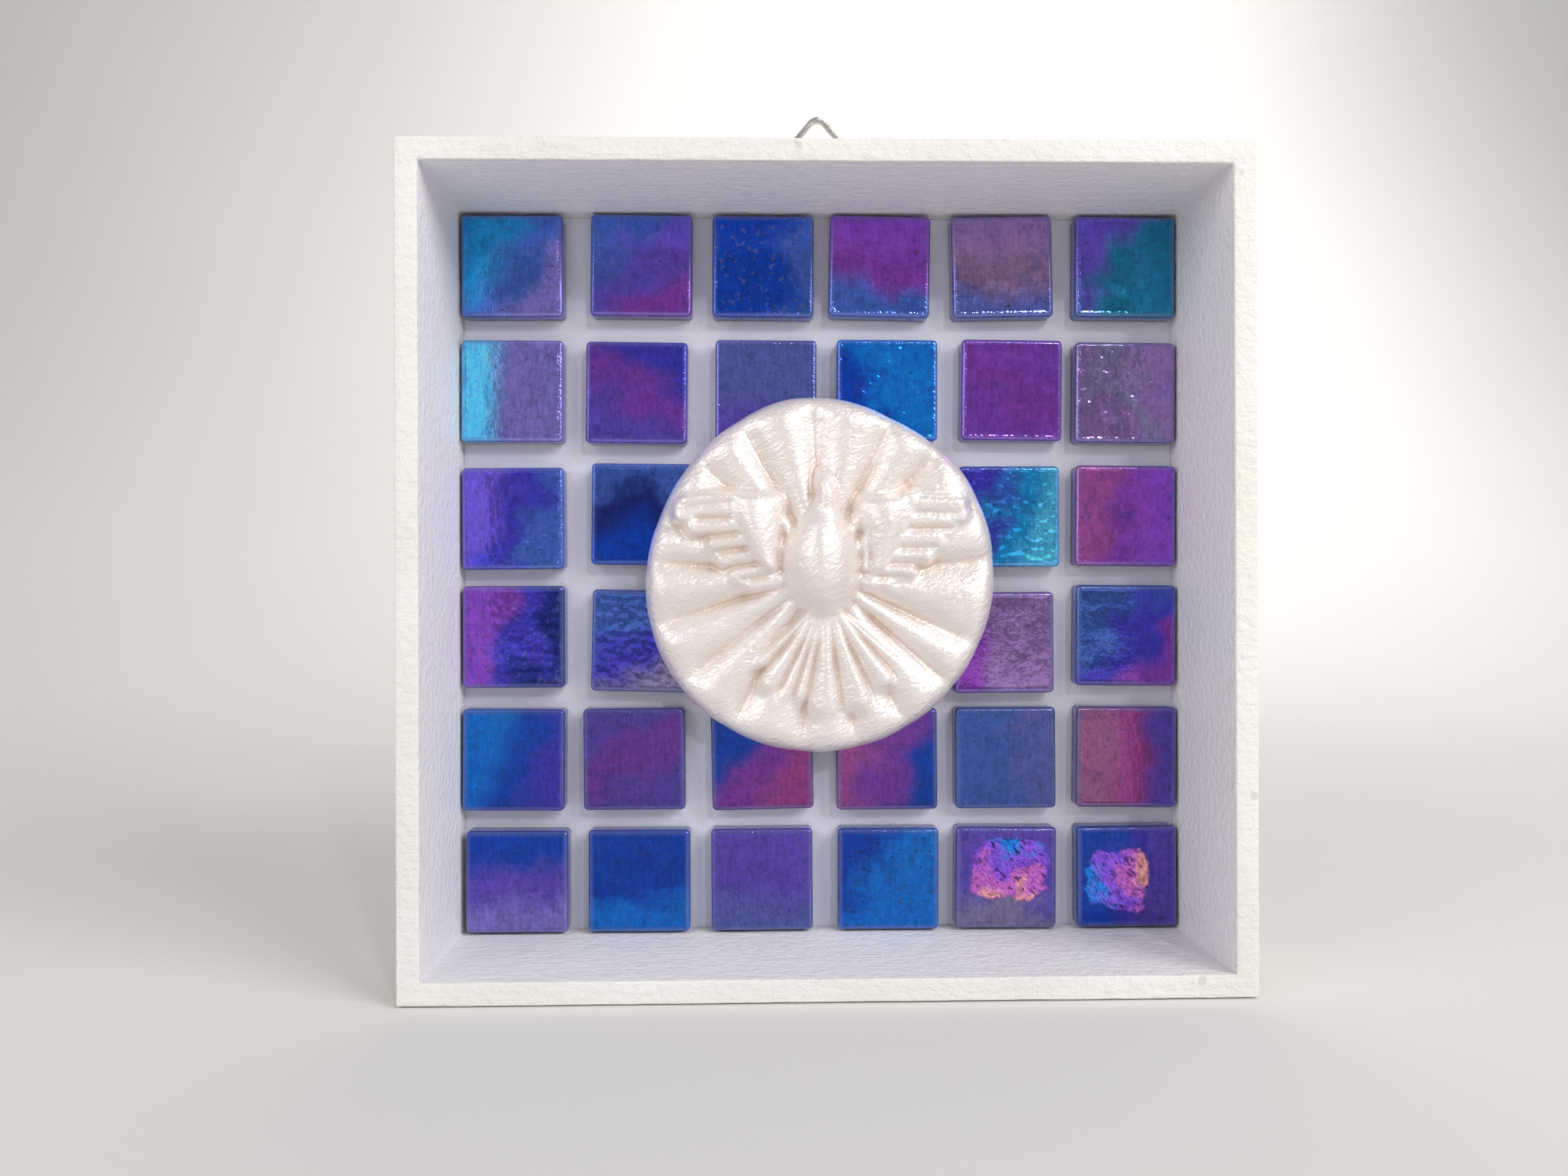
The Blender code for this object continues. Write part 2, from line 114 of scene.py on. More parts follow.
def roughen(piece, grain, size, depth, **settings):
    # Presses a soft random grain into the surface.
    texture = bpy.data.textures.get(grain) or bpy.data.textures.new(grain, "CLOUDS")
    texture.noise_scale = size
    texture.noise_depth = 1
    applyModifier(piece, "DISPLACE", texture=texture, strength=depth, texture_coords="LOCAL", **settings)


def meshPlaces(piece):
    places = np.empty(len(piece.data.vertices) * 3)
    piece.data.vertices.foreach_get("co", places)
    return places.reshape(-1, 3)


def setMeshPlaces(piece, places):
    piece.data.vertices.foreach_set("co", np.ascontiguousarray(places, float).ravel())
    piece.data.update()


def storeValues(piece, name, kind, values):
    field = piece.data.attributes.new(name, kind, "POINT")
    field.data.foreach_set("vector" if kind == "FLOAT_VECTOR" else "value",
                           np.ascontiguousarray(values, np.float32).ravel())


def settle(piece, material, slot, *nodes):
    piece.data.materials.clear()
    piece.data.materials.append(material)
    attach(piece, "root")
    if nodes:
        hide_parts(*nodes)


# Small tools for materials

def addNode(tree, kind, inputs=None, **options):
    made = tree.nodes.new(kind)
    for name, value in options.items():
        setattr(made, name, value)
    for name, value in (inputs or {}).items():
        if isinstance(value, bpy.types.NodeSocket):
            tree.links.new(value, made.inputs[name])
        else:
            made.inputs[name].default_value = value
    return made


def mathOf(tree, operation, first, second=0.0, third=0.0):
    return addNode(tree, "ShaderNodeMath", {0: first, 1: second, 2: third}, operation=operation).outputs[0]


def rangeOf(tree, value, low, high, start=0.0, end=1.0):
    made = addNode(tree, "ShaderNodeMapRange", {"Value": value, "From Min": low, "From Max": high,
                                                "To Min": start, "To Max": end},
                   interpolation_type="SMOOTHSTEP")
    return made.outputs[0]


def mixOf(tree, share, first, second):
    made = addNode(tree, "ShaderNodeMix", {0: share, 6: first, 7: second}, data_type="RGBA")
    return made.outputs[2]


def productOf(tree, first, second):
    return mathOf(tree, "MULTIPLY", first, second)


def sumOf(tree, *values):
    summed = values[0]
    for value in values[1:]:
        summed = mathOf(tree, "ADD", summed, value)
    return summed


def heightOf(tree, *textures):
    # Each texture comes with its weight.
    return sumOf(tree, *(productOf(tree, texture, weight) for texture, weight in textures))


def noiseOf(tree, place, scale, detail=2.0, roughness=0.5, distortion=0.0):
    made = addNode(tree, "ShaderNodeTexNoise", {"Vector": place, "Scale": scale, "Detail": detail,
                                                "Roughness": roughness, "Distortion": distortion})
    return made.outputs["Fac"]


def stretchOf(tree, place, scale, turn=(0, 0, 0)):
    # Turned first and then stretched, so that a grain can run aslant.
    turned = addNode(tree, "ShaderNodeMapping", {"Vector": place, "Rotation": turn}).outputs[0]
    return addNode(tree, "ShaderNodeMapping", {"Vector": turned, "Scale": scale}).outputs[0]


def newGroup(name, inputs, outputs):
    kinds = {"value": "NodeSocketFloat", "colour": "NodeSocketColor", "vector": "NodeSocketVector"}
    group = bpy.data.node_groups.new(name, "ShaderNodeTree")
    for socket, kind in inputs:
        group.interface.new_socket(name=socket, in_out="INPUT", socket_type=kinds[kind])
    for socket, kind in outputs:
        group.interface.new_socket(name=socket, in_out="OUTPUT", socket_type=kinds[kind])
    return group, group.nodes.new("NodeGroupInput"), group.nodes.new("NodeGroupOutput")


def newMaterial(name, **sockets):
    material = bpy.data.materials.new(name)
    material.use_nodes = True
    shader = material.node_tree.nodes["Principled BSDF"]
    for socket, value in sockets.items():
        shader.inputs[socket].default_value = value
    return material, material.node_tree, shader


def addBump(tree, shader, height, distance):
    bump = addNode(tree, "ShaderNodeBump", {"Height": height, "Distance": distance, "Strength": 1.0})
    tree.links.new(bump.outputs[0], shader.inputs["Normal"])


def objectPlace(tree):
    return addNode(tree, "ShaderNodeTexCoord").outputs["Object"]


# Painted case

caseLook = {
    "wall": 0.0042,
    "skin": 0.00009,          # the case starts this much inside its box, as the grain stands out
    "edge": 0.00028,
    "step": 0.0013,
    "waves": (0.010, 0.00014),
    "grain": (0.0026, 0.00010),
    "paint": (0.85, 0.825, 0.79),
    "shade": (0.80, 0.765, 0.725),
    # Painted light: the whiter inner colour lights up the case's inner walls.
    "inner": (0.92, 0.91, 0.895),
    "innerLightFrom": 0.0005,      # the painted light of the inner walls starts this far behind the front
    "innerLightFade": (0.001, 0.0008),  # and comes in over this much across the rim and behind it
    "marks": 0.3,
    "bump": 0.0006,
}


def paintGroup():
    group, given, result = newGroup(
        "brushedPaint",
        [("Place", "vector"), ("Paint", "colour"), ("Shade", "colour"), ("Marks", "value")],
        [("Colour", "colour"), ("Roughness", "value"), ("Height", "value")])
    place, marks = given.outputs["Place"], given.outputs["Marks"]
    cloud = noiseOf(group, place, 38, 3)
    peel = noiseOf(group, place, 620, 2, 0.55)
    grain = noiseOf(group, place, 2400, 2, 0.6)
    brushed = noiseOf(group, stretchOf(group, place, (160, 1500, 900)), 1, 2, 0.5)
    fleckMask = rangeOf(group, noiseOf(group, place, 270, 1), 0.755, 0.775)
    base = mixOf(group, rangeOf(group, cloud, 0.3, 0.75), given.outputs["Paint"], given.outputs["Shade"])
    worn = mixOf(group, rangeOf(group, peel, 0.62, 0.8, 0, 0.35), base, given.outputs["Shade"])
    flecked = mixOf(group, productOf(group, fleckMask, marks), worn, (0.42, 0.36, 0.32, 1))
    group.links.new(flecked, result.inputs["Colour"])
    group.links.new(rangeOf(group, peel, 0.25, 0.75, 0.42, 0.66), result.inputs["Roughness"])
    height = heightOf(group, (peel, 0.6), (grain, 0.22), (brushed, 0.35))
    group.links.new(height, result.inputs["Height"])
    return group


def paintMaterial(name, group, look):
    material, tree, shader = newMaterial(name)
    made = addNode(tree, "ShaderNodeGroup", {
        "Place": objectPlace(tree), "Paint": (*look["paint"], 1), "Shade": (*look["shade"], 1),
        "Marks": look["marks"]}, node_tree=group).outputs
    # Where the inside value is set, the colour turns to the whiter inner colour: painted light on the
    # case's inner walls, plain white paint on the board's back.
    inside = addNode(tree, "ShaderNodeAttribute", attribute_name="inside").outputs["Fac"]
    colour = mixOf(tree, productOf(tree, inside, 0.75), made["Colour"], (*look["inner"], 1))
    tree.links.new(colour, shader.inputs["Base Color"])
    tree.links.new(made["Roughness"], shader.inputs["Roughness"])
    addBump(tree, shader, made["Height"], look["bump"])
    return material


def makeCase():
    walls = ["wall_top", "wall_bottom", "wall_left", "wall_right"]
    low, high = boxOf(walls)
    skin = Vector([caseLook["skin"]] * 3)
    case = startCube("paintedCase", low + skin, high - skin)
    openForEdit(case, "FACE", lambda face: abs(face.normal.y) > 0.9)
    bpy.ops.mesh.inset(thickness=caseLook["wall"] - 2 * caseLook["skin"], depth=0)
    bpy.ops.mesh.bridge_edge_loops()
    closeEdit()
    applyModifier(case, "BEVEL", width=caseLook["edge"], segments=3, limit_method="ANGLE")
    crossCut(case, low, high, caseLook["step"])
    roughen(case, "caseWaves", *caseLook["waves"])
    roughen(case, "caseGrain", *caseLook["grain"])
    bpy.ops.object.shade_smooth()
    places, middle = meshPlaces(case), (low + high) / 2
    reach = np.maximum(abs(places[:, 0] - middle.x), abs(places[:, 2] - middle.z))
    # Painted light: how far a point lies within the recess, where the inner walls are painted whiter.
    across, behind = caseLook["innerLightFade"]
    innerLight = np.clip((high.x - middle.x - caseLook["wall"] / 2 - reach) / across, 0, 1)
    innerLight *= np.clip((places[:, 1] - low.y - caseLook["innerLightFrom"]) / behind, 0, 1)
    storeValues(case, "inside", "FLOAT", innerLight)
    return case, walls


brushedPaint = paintGroup()
case, caseWalls = makeCase()
settle(case, paintMaterial("casePaint", brushedPaint, caseLook), "frame_paint", *caseWalls)
print("case painted:", len(case.data.vertices), "points")


# Back board

boardLook = {
    "joint": 0.0005,          # how far the board reaches into the walls' paint
    "back": 0.0004,           # how far its back lies inside the walls' back edges
    "edge": 0.0004,
    "step": 0.0016,
    "waves": (0.012, 0.00016),
    # The front's lilac, darker colours are painted light: a painted reflection of the blue tiles and
    # painted shade in the narrow gaps between them.
    "paint": (0.78, 0.775, 0.87),
    "shade": (0.71, 0.70, 0.80),
    "inner": (0.915, 0.905, 0.915),  # only its back half takes this
    "marks": 0.1,
    "bump": 0.0003,
}


def makeBoard():
    low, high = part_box("back_board")
    joint = boardLook["joint"]
    low = low - Vector((joint, 0, joint))
    high = high + Vector((joint, -boardLook["back"], joint))
    board = startCube("backBoard", low, high)
    applyModifier(board, "BEVEL", width=boardLook["edge"], segments=2)
    crossCut(board, low, high, boardLook["step"], axes=(0, 2))
    roughen(board, "boardWaves", *boardLook["waves"])
    bpy.ops.object.shade_smooth()
    # Only the front has the lilac, darker colour, a painted reflection of the blue tiles and painted shade
    # in the gaps; the back has the recess's plain white.
    storeValues(board, "inside", "FLOAT", meshPlaces(board)[:, 1] > (low.y + high.y) / 2)
    return board


settle(makeBoard(), paintMaterial("boardPaint", brushedPaint, boardLook), "board_paint", "back_board")
print("board made")


# Glass tiles

tileLook = {
    "size": 0.01996,
    "corner": 0.0009,
    "rim": 0.0008,
    "step": 0.0005,
    "slack": 0.0001,          # how much thinner it is than its solid, as the swell stands out
    "swell": (0.0060, 0.00014),
    "swellEnd": 0.915,        # how far out the swell and the hammering reach, as a share of the way
    "swellFade": 0.05,
    "hammer": 0.0012,
    "hammerDepth": 0.0008,    # times each film's hammered depth
    "hammerBump": 1.6,
    "smoothest": 0.03,        # a film hammered less than this keeps a smooth mesh
    "bump": 0.00022,
    "tone": 1.1,
}
filmColours = {
    "ink": (0.010, 0.020, 0.20),
    "cobalt": (0.002, 0.060, 0.50),
    "azure": (0.003, 0.19, 0.74),
    "teal": (0.010, 0.26, 0.60),
    "cyan": (0.08, 0.50, 0.85),
    "sea": (0.006, 0.17, 0.32),
    "steel": (0.055, 0.13, 0.52),
    "dusk": (0.11, 0.13, 0.46),
    "indigo": (0.05, 0.045, 0.50),
    "violet": (0.125, 0.075, 0.52),
    "purple": (0.21, 0.055, 0.46),
    "plum": (0.24, 0.050, 0.43),
    "orchid": (0.40, 0.09, 0.38),
    "dusty": (0.34, 0.11, 0.28),
    "rose": (0.36, 0.060, 0.30),
    "lilac": (0.25, 0.20, 0.64),
    "mauve": (0.26, 0.15, 0.40),
    "ash": (0.29, 0.17, 0.33),
    "pewter": (0.22, 0.19, 0.36),
    # The tints of small marks, of the opal patches, partly a painted glint, and of the glass round the
    # edge, partly a painted reflection
    "blotch": (0.025, 0.045, 0.32),
    "speck": (0.20, 0.20, 0.52),
    "pit": (0.015, 0.015, 0.10),
    "opalBlue": (0.01, 0.26, 1.0),
    "opalViolet": (0.28, 0.10, 0.88),
    "opalPink": (0.60, 0.15, 0.66),
    "opalPeach": (1.0, 0.42, 0.42),
    "opalCrack": (0.03, 0.01, 0.16),
    "rimGlassAndReflection": (0.15, 0.18, 0.40),
    "rimLine": (0.010, 0.018, 0.14),
    "side": (0.17, 0.20, 0.52),
    "foot": (0.008, 0.012, 0.10),
}
# Each film is three colours across the tile, how far they mix, its specks, hammered depth and tone.
films = {
    "tealLilac": ("teal", "steel", "lilac", 0.30, 0.1, 0.06, 1.2),
    "steelPlum": ("steel", "violet", "plum", 0.28, 0.05, 0.0, 1.2),
    "speckledCobalt": ("cobalt", "cobalt", "steel", 0.4, 1.0, 0.04, 1.14),
    "purplePlum": ("purple", "plum", "steel", 0.22, 0.1, 0.08, 1.3),
    "mauveAsh": ("mauve", "ash", "dusk", 0.20, 0.1, 0.03, 1.2),
    "peacock": ("violet", "sea", "sea", 0.30, 0.1, 0.0, 1.2),
    "skyLilac": ("cyan", "lilac", "lilac", 0.12, 0.5, 0.06, 1.2),
    "indigoViolet": ("violet", "purple", "indigo", 0.3, 0.05, 0.0, 1.14),
    "duskViolet": ("dusk", "dusk", "violet", 0.35, 0.05, 0.0, 1.2),
    "cobaltAzure": ("cobalt", "azure", "azure", 0.30, 0.1, 0.30, 1.32),
    "plum": ("purple", "plum", "purple", 0.4, 0.0, 0.0, 1.2),
    "mauvePewter": ("mauve", "pewter", "mauve", 0.6, 0.5, 0.30, 1.14),
    "violetInk": ("violet", "indigo", "steel", 0.5, 0.3, 0.14, 1.38),
    "deepBlue": ("cobalt", "ink", "steel", 0.35, 0.1, 0.05, 1.2),
    "indigoCyan": ("indigo", "teal", "cyan", 0.35, 0.1, 0.35, 1.2),
    "orchidPlum": ("orchid", "plum", "purple", 0.3, 0.1, 0.0, 1.2),
    "mottledViolet": ("purple", "indigo", "ink", 0.45, 0.7, 0.14, 1.2),
    "slate": ("steel", "indigo", "pewter", 0.5, 0.3, 0.30, 1.02),
    "plumMauve": ("plum", "mauve", "mauve", 0.3, 0.1, 0.05, 1.08),
    # The films from here on, laid on the lower rows, have low tones: partly the glass's own darker colour,
    # partly painted shade for the dimmer surroundings those tiles reflect.
    "steelPlumDark": ("steel", "indigo", "plum", 0.45, 0.1, 0.06, 0.9),
    "azureBand": ("azure", "cobalt", "indigo", 0.25, 0.05, 0.0, 0.76),
    "violetPurple": ("violet", "purple", "violet", 0.4, 0.1, 0.0, 0.59),
    "cobaltRose": ("cobalt", "plum", "rose", 0.30, 0.05, 0.05, 0.65),
    "orchidCobalt": ("orchid", "purple", "cobalt", 0.30, 0.05, 0.0, 0.63),
    "steelDusk": ("steel", "steel", "dusk", 0.4, 0.1, 0.05, 0.61),
    "dustyRose": ("dusty", "rose", "violet", 0.16, 0.05, 0.03, 0.69),
    # The lilac part of this film is a painted reflection of the pale case wall.
    "cobaltLilac": ("cobalt", "violet", "lilac", 0.15, 0.05, 0.0, 0.82),
    "deepAzure": ("cobalt", "cobalt", "azure", 0.25, 0.1, 0.10, 0.73),
    "violetDusk": ("violet", "violet", "dusk", 0.25, 0.05, 0.0, 0.78),
    "azureGlint": ("cobalt", "azure", "azure", 0.30, 0.1, 0.40, 0.73),
    "violetOpal": ("violet", "violet", "pewter", 0.25, 0.1, 0.14, 0.79),
    "cobaltOpal": ("cobalt", "indigo", "violet", 0.35, 0.1, 0.14, 0.71),
}
# Film and its direction in degrees for every tile, row by row from the top.
tileRows = [
    [("tealLilac", -35), ("steelPlum", -50), ("speckledCobalt", 0),
     ("purplePlum", -95), ("mauveAsh", -90), ("peacock", -30)],
    [("skyLilac", 0), ("indigoViolet", 60), ("duskViolet", -90),
     ("cobaltAzure", 25), ("plum", 60), ("mauvePewter", 30)],
    [("violetInk", -15), ("deepBlue", 90), ("indigoViolet", 0),
     ("steelDusk", 0), ("indigoCyan", -20), ("orchidPlum", -10)],
    [("mottledViolet", -10), ("slate", -60), ("deepBlue", 0),
     ("violetPurple", 0), ("plumMauve", 0), ("steelPlumDark", -50)],
    [("azureBand", -20), ("violetPurple", 120), ("cobaltRose", -40),
     ("orchidCobalt", -20), ("steelDusk", 0), ("dustyRose", 0)],
    [("cobaltLilac", -90), ("deepAzure", -90), ("violetDusk", -90),
     ("azureGlint", -20), ("violetOpal", -90), ("cobaltOpal", -10)],
]
# The middle of a hammered opal patch and its half width and height, as shares of half a tile.
opalPatches = {(6, 5): (0.06, 0.16, 0.74, 0.58), (6, 6): (-0.20, -0.06, 0.60, 0.60)}


def filmGroup():
    group, given, result = newGroup(
        "iridescentFilm",
        [("Place", "vector"), ("Tile", "vector"), ("First", "colour"), ("Second", "colour"),
         ("Third", "colour"), ("Mixing", "value"), ("Specks", "value"), ("Hammer", "value"),
         ("Tone", "value")],
        [("Colour", "colour"), ("Roughness", "value"), ("Height", "value"), ("Metal", "value")])
    place = given.outputs["Place"]
    run, rim, opal = addNode(group, "ShaderNodeSeparateXYZ", {0: given.outputs["Tile"]}).outputs

    def around(texture, weight):
        # A noise that swings as far below zero as above it.
        return mathOf(group, "MULTIPLY_ADD", texture, weight, -weight / 2)

    def tinted(colour, share, tint):
        return mixOf(group, share, colour, (*filmColours[tint], 1))

    def brightened(colour, value):
        return addNode(group, "ShaderNodeHueSaturation", {"Color": colour, "Value": value}).outputs[0]

    broad = around(noiseOf(group, place, 95, 1.5, 0.5, 0.3), 5.5)
    small = noiseOf(group, place, 420, 3, 0.6, 0.6)
    fine = noiseOf(group, place, 1500, 2, 0.6)
    lines = noiseOf(group, stretchOf(group, place, (1700, 300, 260)), 1, 2, 0.6)
    aslant = noiseOf(group, stretchOf(group, place, (2400, 600, 650), (0, 0.7, 0)), 1, 2, 0.6)

    # The three colours, drifting into one another
    course = sumOf(group, run, productOf(group, broad, given.outputs["Mixing"]), around(small, 0.35))
    early, late = rangeOf(group, course, -0.65, 0.05), rangeOf(group, course, 0.10, 0.75)
    colour = mixOf(group, early, given.outputs["First"], given.outputs["Second"])
    colour = mixOf(group, late, colour, given.outputs["Third"])
    blotches = rangeOf(group, noiseOf(group, place, 230, 4, 0.65, 0.8), 0.54, 0.74, 0, 0.40)
    colour = tinted(colour, blotches, "blotch")
    lift = sumOf(group, 1.0, around(small, 0.8), around(lines, 0.7), around(fine, 0.7))
    colour = brightened(colour, productOf(group, lift, given.outputs["Tone"]))
    dots = rangeOf(group, noiseOf(group, place, 900, 1, 0.5), 0.60, 0.70, 0, 0.5)
    colour = tinted(colour, productOf(group, dots, given.outputs["Specks"]), "speck")
    pits = rangeOf(group, noiseOf(group, place, 1150, 1, 0.5), 0.68, 0.76, 0, 0.5)
    colour = tinted(colour, pits, "pit")

    # A ragged opal patch: blue, violet, pink and peach, with dark cracks. Its bright colours are partly a
    # painted glint off the hammered glass
    ragged = sumOf(group, opal, around(noiseOf(group, place, 260, 3, 0.65), 0.75))
    patch = productOf(group, rangeOf(group, ragged, 0.45, 0.60), rangeOf(group, opal, 0.0, 0.25))
    glow = sumOf(group, run, 0.2, around(noiseOf(group, place, 170, 2, 0.5), 2.6), around(fine, 0.5))
    opalColourAndGlint = tinted((*filmColours["opalBlue"], 1), rangeOf(group, glow, -0.70, -0.25), "opalViolet")
    opalColourAndGlint = tinted(opalColourAndGlint, rangeOf(group, glow, -0.15, 0.25), "opalPink")
    opalColourAndGlint = tinted(opalColourAndGlint, rangeOf(group, glow, 0.40, 0.85), "opalPeach")
    # Painted light and shade of the hammering: fine flecks and aslant streaks make the patch lighter and
    # darker.
    opalColourAndGlint = brightened(opalColourAndGlint, sumOf(group, 0.95, around(fine, 1.3), around(aslant, 1.2)))
    cracks = noiseOf(group, stretchOf(group, place, (1500, 700, 480), (0, 0.75, 0)), 1, 2, 0.6)
    opalColourAndGlint = tinted(opalColourAndGlint, rangeOf(group, cracks, 0.33, 0.43, 0.9, 0.0), "opalCrack")
    colour = mixOf(group, patch, colour, opalColourAndGlint)

    # Paler glass round the edge, running on down the sides to a dark line at the board: partly the clear
    # glass, partly a painted reflection of the pale walls
    band = rangeOf(group, rim, 0.87, 0.95)
    colour = tinted(colour, productOf(group, band, 0.42), "rimGlassAndReflection")
    colour = tinted(colour, rangeOf(group, rim, 0.980, 0.996, 0, 0.4), "rimLine")
    colour = tinted(colour, rangeOf(group, rim, 1.0, 1.3, 0, 0.5), "side")
    colour = tinted(colour, rangeOf(group, rim, 1.66, 1.88), "foot")
    group.links.new(colour, result.inputs["Colour"])
    group.links.new(rangeOf(group, small, 0.2, 0.8, 0.06, 0.15), result.inputs["Roughness"])
    cells = addNode(group, "ShaderNodeTexVoronoi", {"Vector": place, "Scale": 850.0},
                    feature="SMOOTH_F1").outputs["Distance"]
    hammer = mathOf(group, "MULTIPLY_ADD", patch, 0.8, given.outputs["Hammer"])
    height = heightOf(group, (small, 0.25), (lines, 0.10), (fine, 0.12), (cells, hammer),
                      (productOf(group, band, aslant), 0.6))
    group.links.new(height, result.inputs["Height"])
    group.links.new(rangeOf(group, rim, 0.90, 1.0, 0.9, 0.3), result.inputs["Metal"])
    return group


def filmMaterial(name, group):
    *colours, mixing, specks, hammer, tone = films[name]
    first, second, third = ((*filmColours[colour], 1) for colour in colours)
    material, tree, shader = newMaterial("film_" + name, **{"Coat Weight": 0.3, "Coat Roughness": 0.03})
    tile = addNode(tree, "ShaderNodeAttribute", attribute_name="tilePlace").outputs["Vector"]
    made = addNode(tree, "ShaderNodeGroup", {
        "Place": objectPlace(tree), "Tile": tile, "First": first, "Second": second, "Third": third,
        "Mixing": mixing, "Specks": specks, "Hammer": hammer * tileLook["hammerBump"],
        "Tone": tone * tileLook["tone"]}, node_tree=group).outputs
    tree.links.new(made["Colour"], shader.inputs["Base Color"])
    tree.links.new(made["Roughness"], shader.inputs["Roughness"])
    tree.links.new(made["Metal"], shader.inputs["Metallic"])
    addBump(tree, shader, made["Height"], tileLook["bump"])
    return material


def modelTile(size, thickness):
    half = Vector((size / 2, thickness / 2, size / 2))
    tile = startCube("tile", -half, half)
    openForEdit(tile, "EDGE", lambda edge: abs(edge.verts[0].co.y - edge.verts[1].co.y) > thickness / 2)
    bpy.ops.mesh.bevel(offset=tileLook["corner"], segments=5, affect="EDGES")
    closeEdit()
    front = -thickness / 2 + samePlace
    openForEdit(tile, "EDGE", lambda edge: all(vert.co.y < front for vert in edge.verts))
    bpy.ops.mesh.bevel(offset=tileLook["rim"], segments=5, affect="EDGES")
    closeEdit()
    crossCut(tile, -half, half, tileLook["step"], axes=(0, 2))
    return tile


def tileStance(node):
    # The middle of a tile's front and how far it is turned, from the corners of its front face.
    places = np.array([vert.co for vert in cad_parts[node].data.vertices])
    front = places[places[:, 1] < places[:, 1].min() + samePlace]
    low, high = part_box(node)
    middle = (low + high) / 2
    corner = front[(front[:, 0] > middle.x) & (front[:, 2] > middle.z)].mean(axis=0)
    turn = math.atan2(corner[2] - middle.z, corner[0] - middle.x) - math.pi / 4
    return middle, turn


def rimShare(shape, thickness):
    # How far out a point lies: 1 at the outline, and on down the sides to 2 at the back.
    half, corner = tileLook["size"] / 2, tileLook["corner"]
    over = np.abs(shape[:, (0, 2)]) - (half - corner)
    inward = np.hypot(*np.maximum(over, 0).T) + np.minimum(over.max(axis=1), 0) - corner
    down = (shape[:, 1] + thickness / 2 - tileLook["rim"]) / (thickness / 2)
    return 1 + inward / half + np.clip(down, 0, 1)


def opalShare(across, up, patch):
    # 1 in the middle of a tile's opal patch and nothing well outside it.
    side, lift, wide, high = patch
    spread = np.hypot(((across - side) / wide) ** 2, ((up - lift) / high) ** 2)
    return np.clip(1.5 - np.sqrt(spread), 0, 1)


def roughenFront(piece, weights, hammer):
    inner = piece.vertex_groups.new(name="inner")
    for index in np.nonzero(weights > 0.01)[0]:
        inner.add([int(index)], float(weights[index]), "REPLACE")
    front = {"direction": "Y", "vertex_group": "inner", "mid_level": 0.5}
    roughen(piece, "tileSwell", *tileLook["swell"], **front)
    if hammer > tileLook["smoothest"]:
        roughen(piece, "tileHammer", tileLook["hammer"], hammer * tileLook["hammerDepth"], **front)
    piece.vertex_groups.clear()


def makeTiles():
    group, madeFilms = filmGroup(), {}
    low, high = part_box("tile_r1_c1")
    thickness = high.y - low.y
    pattern = modelTile(tileLook["size"], thickness - tileLook["slack"])
    shape = meshPlaces(pattern)
    across, up = shape[:, 0] / (tileLook["size"] / 2), shape[:, 2] / (tileLook["size"] / 2)
    rim = rimShare(shape, thickness)
    onFront = shape[:, 1] < -thickness / 2 + tileLook["slack"]
    weights = onFront * np.clip((tileLook["swellEnd"] - rim) / tileLook["swellFade"], 0, 1)
    for row, entries in enumerate(tileRows, 1):
        for column, (film, direction) in enumerate(entries, 1):
            node = f"tile_r{row}_c{column}"
            piece = bpy.data.objects.new(f"glassTile_r{row}_c{column}", pattern.data.copy())
            bpy.context.scene.collection.objects.link(piece)
            angle = math.radians(direction)
            run = across * math.cos(angle) + up * math.sin(angle)
            patch = np.zeros(len(shape))
            if (row, column) in opalPatches:
                patch = opalShare(across, up, opalPatches[(row, column)]) * onFront
            storeValues(piece, "tilePlace", "FLOAT_VECTOR", np.column_stack((run, rim, patch)))
            middle, turn = tileStance(node)
            piece.data.transform(Matrix.Translation(middle) @ Matrix.Rotation(-turn, 4, "Y"))
            roughenFront(piece, weights, hammer=films[film][5])
            bpy.ops.object.shade_smooth_by_angle(angle=math.radians(50))
            if film not in madeFilms:
                madeFilms[film] = filmMaterial(film, group)
            settle(piece, madeFilms[film], "tile_glass", node)
    bpy.data.objects.remove(pattern, do_unlink=True)


makeTiles()
print("tiles laid")


# Dove medallion. Places and heights are shares of its radius.

medallionLook = {
    "radius": 0.03368,
    "sectors": 24,
    "cuts": 84,
    "softness": 0.006,        # the relief is averaged over this much each way
    "hollowShade": (0.03, 0.016),  # painted shade in the hollows: a point is set against what lies this far round it, and this deep is full shade
    "strokes": (0.0012, 0.00006),
    "pearl": (0.88, 0.82, 0.79),
    "shade": (0.83, 0.75, 0.705),
    # The colour of the painted shade in the hollows
    "shadeTan": (0.72, 0.56, 0.46),
    "bump": 0.00028,
}
disc = {
    "side": 0.10,
    "crest": 0.247,
    "crestAt": 0.86,
    "bed": 0.192,
    "mound": 0.045,
    "moundLift": 0.15,
    "moundSize": (0.5, 0.42),
    "footInset": 0.02,
    "rayDepth": 0.07,
}
rayGrooves = (-163, -142.5, -121.4, -97, -77.7, -60.5, -40.7, -24.4, 5, 25, 46.5, 66,
              92.7, 118, 137, 162, 175.7)
outline = ((-180, 1.0), (-162, 1.02), (-85, 1.015), (-50, 1.0), (10, 1.0), (32, 1.005), (60, 0.985),
           (100, 1.02), (124, 0.992), (155, 0.976), (180, 1.0))
